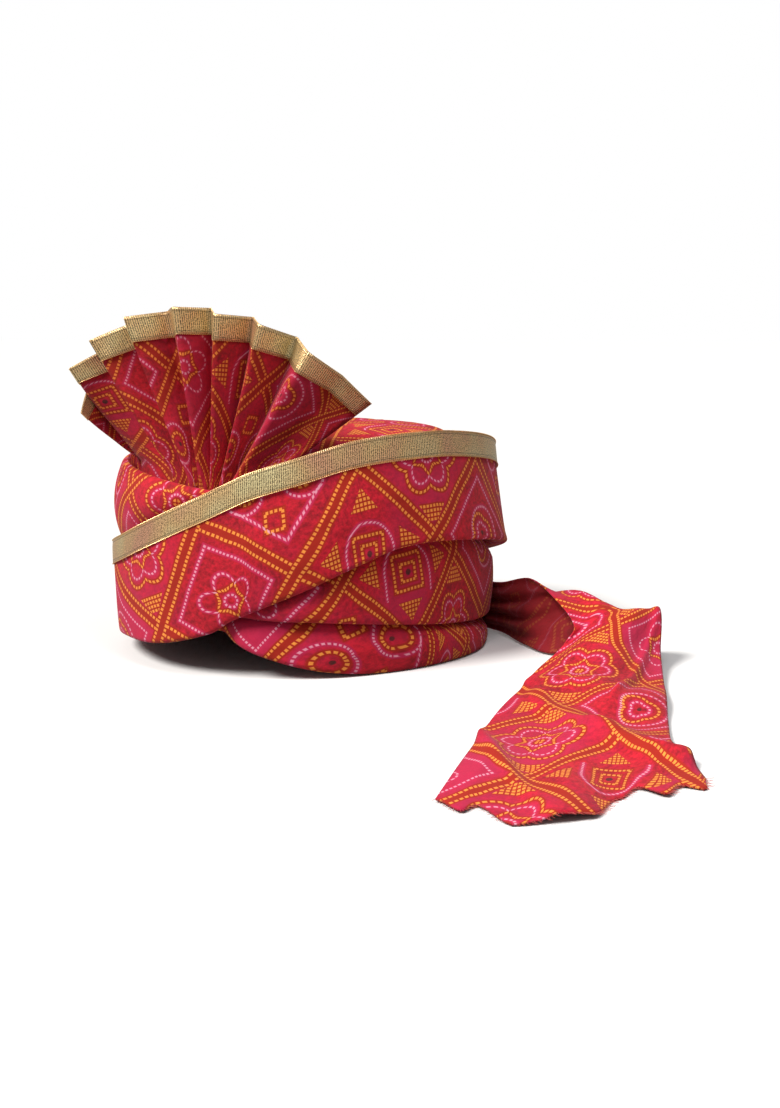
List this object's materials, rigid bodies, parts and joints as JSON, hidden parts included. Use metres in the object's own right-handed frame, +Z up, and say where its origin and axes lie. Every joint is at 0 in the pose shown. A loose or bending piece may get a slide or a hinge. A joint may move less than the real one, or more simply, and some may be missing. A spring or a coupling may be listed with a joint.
{
  "type": "tied turban pagri",
  "caption": "Ready-tied printed cloth turban with tilted wraps, gold ribbon edging, a pleated fan over the forehead and a loose end laid on the table.",
  "frame": {"origin": "centre of the footprint of the turban and its loose end, on the table", "axes": "+Z up, -Y the way the forehead faces, +X towards the wearer's left"},
  "size_m": [0.3838, 0.3684, 0.19],
  "materials": {
    "printed_cotton": "soft crimson cotton with a tie-dye dot print in orange yellow and pale pink",
    "gold_ribbon": "woven metallic gold ribbon with fine cross ribs and a pink cast in places"
  },
  "bodies": {
    "root": {"crown_cap": "printed_cotton", "lower_wrap": "printed_cotton", "middle_wrap": "printed_cotton", "upper_wrap": "printed_cotton", "upper_lace": "gold_ribbon", "fan": "printed_cotton", "fan_lace": "gold_ribbon", "tail": "printed_cotton"}
  },
  "joints": []
}
